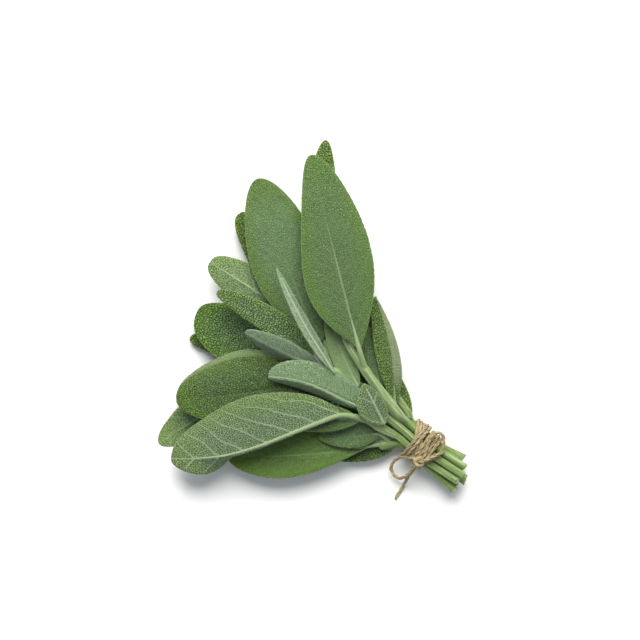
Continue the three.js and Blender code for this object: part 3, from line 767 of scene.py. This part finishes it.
def blade_form(leaf, seed):
    """The middle surface of a leaf in millimetres, and what its finish needs to know of it."""
    rng = np.random.default_rng(seed)
    spacing = HIDDEN_SPACING if leaf["hidden"] else FINE_SPACING
    length = np.linalg.norm(np.subtract(leaf["tip"], leaf["base"]))
    rows = int(length * ROW_CROWDING / spacing)
    strips = max(int(max(leaf["halves"]) / spacing), FEWEST_STRIPS)
    even = np.linspace(0.0, 1.0, rows)
    t = mix(even, (1 - np.cos(math.pi * even)) / 2, END_CROWDING)
    line = midrib(leaf, t)
    along = unit(np.gradient(line, t, axis=0))
    side = unit(np.cross(UP, along))
    normal = np.cross(along, side)
    run = np.concatenate([[0.0], np.cumsum(np.linalg.norm(np.diff(line, axis=0), axis=1))])
    least = mix(BASE_HALF_WIDTH, TIP_HALF_WIDTH, t)

    half = np.linspace(0.0, 1.0, strips + 1)
    spread = np.concatenate([half[::-1], -half[1:]])
    columns = len(spread)
    points = np.zeros((rows, columns, 3))
    facing = np.zeros((rows, columns, 3))
    across = np.zeros((rows, columns))
    wide = np.zeros((rows, columns))
    painted_highlight = np.zeros((rows, columns))
    for hand, sign in ((0, 1), (1, -1)):
        share = width_share(leaf, t, hand)
        fold = np.radians(mix(*leaf["fold"][hand], smooth(*leaf["turn"], t)))[:, None]
        full = np.maximum(leaf["halves"][hand] * share, least)[:, None]
        teeth = ripple(rng, 2, TOOTH_LENGTH, run)[:, None]
        teeth = teeth + SCALLOP_SHARE * ripple(rng, 3, SCALLOP_LENGTH, run)[:, None]
        out, rise, lean = turned_out(fold, leaf["curl"][hand], half, full)
        out = out + TOOTH_DEPTH * teeth * half**6 * share[:, None]
        swing = np.sin(2 * math.pi * leaf["waves"] * t + sign)[:, None] * share[:, None]
        rise = rise + leaf["wave"] * half**2 * swing
        chosen = slice(strips, None, -1) if hand == 0 else slice(strips, None)
        points[:, chosen] = (
            line[:, None, :]
            + side[:, None, :] * (sign * out)[:, :, None]
            + normal[:, None, :] * rise[:, :, None]
        )
        facing[:, chosen] = (
            normal[:, None, :] * np.cos(lean)[:, :, None]
            - side[:, None, :] * (sign * np.sin(lean))[:, :, None]
        )
        across[:, chosen] = sign * half * full
        wide[:, chosen] = full
        # Painted highlight: a pale band from the stated share of this half outwards, growing in from the
        # base
        amount, start = leaf["painted_highlight"][hand]
        outwards = smooth(start + PAINTED_HIGHLIGHT_ACROSS[0], start + PAINTED_HIGHLIGHT_ACROSS[1], half)
        painted_highlight[:, chosen] = amount * outwards * smooth(*PAINTED_HIGHLIGHT_ALONG, t)[:, None]

    reach = np.abs(across)
    edge = np.broadcast_to(np.abs(spread), reach.shape)
    run = np.broadcast_to(run[:, None], reach.shape)
    big = min(1.0, max(leaf["halves"]) / BIG_HALF_WIDTH)
    spacing_here = VEIN_SPACING * mix(SMALL_LEAF_SPACING, 1.0, big)
    wobble = ripple(rng, 3, WOBBLE_REACH, run, across) * VEIN_WOBBLE * smooth(0.0, 3.0, reach)
    phase = (run - reach * VEIN_COTANGENT - VEIN_SWEEP * reach**2) / spacing_here + wobble
    height = blade_relief(leaf, rng, run, reach, edge, wide, phase, spacing_here, big)
    points += facing * height[:, :, None]
    points[:, :, 2] = np.maximum(points[:, :, 2], LOWEST_MIDDLE)
    shown = 1 - RIB_LOSS * smooth(leaf["rib"] + RIB_FADE[0], leaf["rib"] + RIB_FADE[1], t)
    place = (t[:, None], edge, shown[:, None])
    drawn = (phase + FIRST_PHASE, painted_highlight, 0.0)
    return points, run, across, place, drawn


def blade_relief(leaf, rng, run, reach, edge, wide, phase, spacing, big):
    """Midrib and side veins sunken above and raised below, quilting between, and a slight swell."""
    shape = RELIEF[leaf["face"]]
    calm = smooth(0.0, 2.5, wide)
    turn = np.abs(phase - np.floor(phase) - 0.5)
    off_vein = (0.5 - turn) * spacing * ACROSS_VEIN
    vein = np.exp(-((off_vein / VEIN_HALF_WIDTH) ** 2)) * (1 - 0.7 * edge)
    dome = np.sin(math.pi * np.clip(off_vein / (QUILT_SHARE * spacing), 0.0, 1.0)) ** 0.8
    quilt = dome * smooth(0.0, 0.2, edge) * (1 - smooth(0.7, 1.0, edge))
    rib = np.exp(-((reach / RIB_HALF_WIDTH) ** 2))
    fade = np.clip(1.15 - run / run.max(), 0.15, 1.0)
    swell = ripple(rng, 4, LEAF_SWELL_REACH, run, reach) * LEAF_SWELL * smooth(0.0, 0.3, edge)
    pebble = ripple(rng, 10, PEBBLE_REACH, run, reach) * PEBBLE_HEIGHT
    form = shape["vein"] * vein + shape["quilt"] * quilt + shape["rib"] * rib * fade
    form = (form + shape["pebble"] * pebble) * mix(0.5, 1.0, big)
    droop = -MARGIN_DROOP * smooth(0.82, 1.0, edge) * big
    return (form + swell * big + droop) * calm


def leaf_piece(name, node, leaf, seed):
    leaf = {**PLAIN_LEAF, **leaf}
    points, run, across, place, drawn = blade_form(leaf, seed)
    blade = shaped_grid(name, points)
    seen = 1.0 if leaf["face"] == "upper" else 0.0
    note(blade, "blade", run + own_stretch(seed, LEAF_STRETCH), across, seen)
    note(blade, "place", *place)
    note(blade, "drawn", *drawn)
    top_points = points.shape[0] * points.shape[1]
    choose_only(blade)
    wall = blade.modifiers.new("thickness", "SOLIDIFY")
    wall.thickness = LEAF_THICKNESS * MM
    wall.offset = 0.0
    bpy.ops.object.modifier_apply(modifier=wall.name)

    # Solidify adds the lower points after the upper ones, and they lie on the other side
    marks = blade.data.attributes["blade"]
    values = np.zeros(len(blade.data.vertices) * 3, np.float32)
    marks.data.foreach_get("vector", values)
    values = values.reshape(-1, 3)
    values[top_points:, 2] = 1.0 - seen
    marks.data.foreach_set("vector", values.ravel())
    stalk = petiole(name + "_stalk", node, leaf)
    choose_only(blade)
    stalk.select_set(True)
    bpy.ops.object.join()
    hand_over(blade, node, LEAF_FINISHES[leaf["tone"]])


def petiole(name, node, leaf):
    """The stalk of a leaf, from its stem into the midrib, where it thins away."""
    stem = STEM_LINES[node]
    start = stem[int(round(leaf["at"] * (len(stem) - 1)))]
    raised = leaf["face"] == "under" and not leaf["hidden"]
    line = midrib(leaf, RAISED_RIB_STOPS if raised else SUNKEN_RIB_STOPS)
    if raised:
        line = line + UP * MIDRIB_LIFT
    path, directions, run = smooth_path([start, *line], PETIOLE_SPACING)
    base_share = np.linalg.norm(line[0] - start) / run[-1]
    ends = [leaf["stalk"], leaf["stalk"] * 0.8, PETIOLE_TIP_RADIUS]
    radius = np.interp(run / run[-1], [0, base_share, 1], ends)
    radius = radius * np.sqrt(np.clip(np.minimum(run, run[-1] - run) / 0.8, 0.0, 1.0))
    section = np.repeat(radius[:, None], PETIOLE_SIDES + 1, axis=1)
    stalk = tube(name, path, directions, section)
    joint = np.interp(run / run[-1], [0, base_share, mix(base_share, 1.0, 0.7)], [1.0, 0.8, 0.0])
    note(stalk, "blade", run[:, None], np.zeros(section.shape), 0.5)
    note(stalk, "place", np.full(section.shape, 0.1), 0.3, 1.0)
    note(stalk, "drawn", np.full(section.shape, FIRST_PHASE + 0.5), 0.0, joint[:, None])
    close_seams(stalk)
    return stalk


# Stems


def stem_way(sprig):
    turn = math.radians(sprig.get("slot", 0))
    across = 0.0 if sprig.get("core") else OVAL_ACROSS * math.cos(turn)
    up = 0.0 if sprig.get("core") else OVAL_UP * math.sin(turn)
    back, cut_across, cut_up = sprig["cut"]
    leave = sprig.get("leave", STRAIGHT_RUN)
    tied = [from_tie(along, across, up) for along in (-STRAIGHT_RUN, 0.0, leave)]
    return [from_tie(-back, cut_across, cut_up), *tied, *sprig["path"]]


def stem_piece(name, node, sprig, seed):
    """A square, lightly grooved stem with a joint under each leaf and a slanted cut end."""
    rng = np.random.default_rng(seed)
    path, directions, run = smooth_path(stem_way(sprig), STEM_RING_SPACING)
    thick = CORE_STEM_RADIUS if sprig.get("core") else STEM_RADIUS
    butt = sprig.get("butt", thick)
    swell = max(sprig.get("swell", STEM_SWELL_RADIUS), thick)
    stops = [0.0, BUTT_TAPER_SHARE * TIE_REACH, TIE_REACH, SWELL_REACH, run[-1]]
    radius = np.interp(run, stops, [butt, thick, thick, swell, STEM_TIP_RADIUS])
    for leaf in sprig["leaves"]:
        radius = radius + JOINT_BULGE * np.exp(-(((run - leaf["at"] * run[-1]) / JOINT_REACH) ** 2))
    turn = np.linspace(0.0, 2 * math.pi, STEM_SIDES + 1)
    lean = rng.uniform(0.0, math.pi / 2)
    square = 0.055 * np.cos(4 * (turn + lean)) - 0.03 * np.exp(-((np.cos(2 * (turn + lean)) / 0.25) ** 2))
    grain = sum(0.008 * np.cos(k * turn + rng.uniform(0, 6.28)) for k in (7, 9, 11))
    section = radius[:, None] * (1 + square + grain)[None, :]

    # Rings run in to the middle of the cut face, and others close the tip
    start = len(CUT_SHARES)
    ending = len(TIP_SHARES)
    tip_path = path[-1] + directions[-1] * radius[-1] * TIP_LENGTHS[:, None]
    path = np.vstack([np.repeat(path[:1], start, axis=0), path, tip_path])
    directions = np.vstack([np.repeat(directions[:1], start, axis=0), directions,
                            np.repeat(directions[-1:], ending, axis=0)])
    section = np.vstack([section[:1] * CUT_SHARES[:, None], section, section[-1:] * TIP_SHARES[:, None]])
    stem = tube(name, path, directions, section)

    # The cut slants, and the slant fades in the first ring behind it
    rings = len(path)
    co = np.zeros(len(stem.data.vertices) * 3, np.float32)
    stem.data.vertices.foreach_get("co", co)
    co = co.reshape(rings, -1, 3)
    slant = rng.uniform(*CUT_SLANT)
    slant_turn = rng.uniform(0.0, 6.28)
    for ring in range(start + 2):
        tilt = slant * section[ring] * np.cos(turn - slant_turn)
        fade = 1.0 if ring <= start else 0.5
        co[ring] -= (directions[0] * (tilt * fade)[:, None] * MM).astype(np.float32)
    stem.data.vertices.foreach_set("co", co.ravel())
    stem.data.update()
    lengths = np.concatenate([np.zeros(start), run, np.full(ending, run[-1])])
    around = turn[None, :] * radius.mean() + own_stretch(seed, STEM_STRETCH)
    cut = np.concatenate([2.0 - CUT_SHARES, np.ones(1), np.zeros(rings - start - 1)])
    note(stem, "stem", lengths[:, None], around, cut[:, None])
    close_seams(stem)
    hand_over(stem, node, STEM_FINISH)


STEM_LINES = {node: smooth_path(stem_way(sprig), 0.25)[0] for node, sprig in SPRIGS.items()}
for number, (node, sprig) in enumerate(SPRIGS.items()):
    short = node.replace("sprig_", "")
    stem_piece("stem_" + short, node, sprig, FIRST_STEM_SEED + number)
    for place, leaf in enumerate(sprig["leaves"]):
        leaf_piece(f"leaf_{short}_{place + 1}", node, leaf, LEAF_SEED_STEP * number + place + 1)


# Twine

TURN_ACROSS = OVAL_ACROSS + STEM_RADIUS + TWINE_CLEARANCE + TWINE_RADIUS
TURN_UP = OVAL_UP + STEM_RADIUS + TWINE_CLEARANCE + TWINE_RADIUS
STEPS_PER_TURN = 14
TURN_PITCH = 1.42
KNOT = np.array([-1.4, -8.6, 13.1])


def turns(count, start, slant, lift, lean):
    """Turns laid round the oval of stems."""
    points = []
    for step in range(int(count * STEPS_PER_TURN) + 1):
        turn = 2 * math.pi * step / STEPS_PER_TURN + lean
        raised = lift * (1 + math.sin(turn)) / 2
        across = (TURN_ACROSS + raised) * math.cos(turn)
        along = start + TURN_PITCH * step / STEPS_PER_TURN + slant * across
        points.append(from_tie(along, across, (TURN_UP + raised) * math.sin(turn)))
    return points


def by_knot(*places):
    return [KNOT + np.array(place, float) for place in places]


STRANDS = {
    "twine_first_turns": turns(3.5, -2.9, 0.62, 0.0, 2.6),
    "twine_last_turns": turns(2, -1.0, 0.03, 1.15, -2.2),
    "twine_right_loop": by_knot(
        (0, 0, 0), (2.4, 3, 1.2), (3.8, 7.8, 1.8), (5.4, 10.4, 1.6), (7.4, 11.8, 1), (9.6, 10.4, 0.6),
        (9.8, 6.6, 0.4), (8.6, 3.8, 0.4), (5.6, 1.6, 0.4), (2.2, 0.2, 0.2), (-0.4, -0.6, 0)),
    "twine_left_loop": by_knot(
        (0.4, 0.2, 0), (-3.4, 1.8, -1.2), (-7.4, 1.8, -4.2), (-10.2, -0.2, -7), (-11, -2.6, -8.6),
        (-9.8, -5.4, -9.2), (-7.4, -6.6, -8.6), (-4.2, -5, -5.6), (-1.2, -1.2, -0.8), (0.4, 0.4, 0.2)),
    "twine_long_end": by_knot(
        (0.4, 0.4, -0.4), (-1.8, -2.6, -2.4), (-4.2, -6, -8.2), (-6.6, -10.6, -12.1), (-9.4, -15, -12.4)),
    "twine_short_end": by_knot((-0.4, 0, 0.6), (2.6, 0.8, 1.6), (6.4, 2.6, 2), (9.8, 4.2, 1.8)),
    "twine_hitch": by_knot((0.4, -0.4, 0), (-1.6, 1.2, -0.8), (-3.4, 3.2, -1.9)),
    "twine_knot": by_knot((-1.6, -1.8, -0.8), (-1.0, 0.8, 0.9), (0.9, 1.2, 1.0), (1.3, -1.2, 0.5),
                          (-0.6, -1.3, 0.9), (-1.5, 0.9, 0.4), (0.2, 1.9, 0.3), (1.6, 1.0, -0.2)),
    "twine_outer_turns": turns(4, -7.7, 0.1, 0.25, -2.2),
}


def twisted_strand(name, points, seed):
    """Plies wound round each other along a path, each a little uneven."""
    rng = np.random.default_rng(seed)
    path, directions, run = smooth_path(points, PLY_RING_SPACING)
    sides, ups = carried_sides(directions)
    pieces = []
    for ply in range(PLIES):
        turn = 2 * math.pi * (run / PLY_PITCH + ply / PLIES)
        offset = PLY_OFFSET * (1 + PLY_UNEVENNESS * ripple(rng, 3, 3.0, run))
        centre = path + (sides * np.cos(turn)[:, None] + ups * np.sin(turn)[:, None]) * offset[:, None]
        centre[:, 2] = np.maximum(centre[:, 2], LOWEST_PLY)
        ply_directions = unit(np.gradient(centre, axis=0))
        around = np.linspace(0.0, 2 * math.pi, PLY_SIDES + 1)
        radius = PLY_RADIUS * (1 + PLY_UNEVENNESS * ripple(rng, 4, 2.4, run))
        radius = radius * np.clip(np.minimum(run, run[-1] - run) / 0.5, 0.0, 1.0) ** 0.5
        uneven = 1 + 0.07 * np.cos(3 * around[None, :] + run[:, None] * 1.9 + rng.uniform(0, 6.28))
        section = radius[:, None] * uneven
        piece = tube(f"{name}_ply_{ply + 1}", centre, ply_directions, section)
        note(piece, "ply", run[:, None] + own_stretch(seed, TWINE_STRETCH), around * PLY_RADIUS, float(ply))
        close_seams(piece)
        pieces.append(piece)
    choose_only(pieces[0])
    for other in pieces[1:]:
        other.select_set(True)
    bpy.ops.object.join()
    pieces[0].name = pieces[0].data.name = name
    hand_over(pieces[0], "twine_tie", TWINE_FINISH)


for number, (name, points) in enumerate(STRANDS.items()):
    twisted_strand(name, points, FIRST_TWINE_SEED + number)


# Table, light and camera

bpy.ops.object.select_all(action="DESELECT")
bpy.ops.mesh.primitive_plane_add(size=TABLE_SIZE, location=(0, 0, 0))
table = bpy.context.active_object
table.name = "table"
white = Finish("white_table", roughness=0.9, specular=0.1)
white.colour(TABLE_COLOUR)
table.data.materials.append(white.material)

world = bpy.data.worlds.new("studio")
bpy.context.scene.world = world
world.use_nodes = True
world.node_tree.nodes["Background"].inputs[0].default_value = SKY_COLOUR
world.node_tree.nodes["Background"].inputs[1].default_value = SKY_STRENGTH

bpy.ops.object.light_add(type="AREA", location=LIGHT_PLACE)
key = bpy.context.active_object
key.name = "window_light"
key.data.shape = "DISK"
key.data.size = LIGHT_SIZE
key.data.energy = LIGHT_POWER
key.data.color = LIGHT_COLOUR
key.rotation_euler = (math.radians(LIGHT_TILT), 0.0, 0.0)

bpy.ops.object.camera_add(location=(*PICTURE_CENTRE, CAMERA_HEIGHT), rotation=(0.0, 0.0, 0.0))
camera = bpy.context.active_object
camera.data.sensor_width = SENSOR_WIDTH
camera.data.lens = SENSOR_WIDTH * CAMERA_HEIGHT / PICTURE_WIDTH
camera.data.clip_end = FAR_END_OF_VIEW
bpy.context.scene.camera = camera
bpy.context.scene.view_settings.view_transform = "Standard"
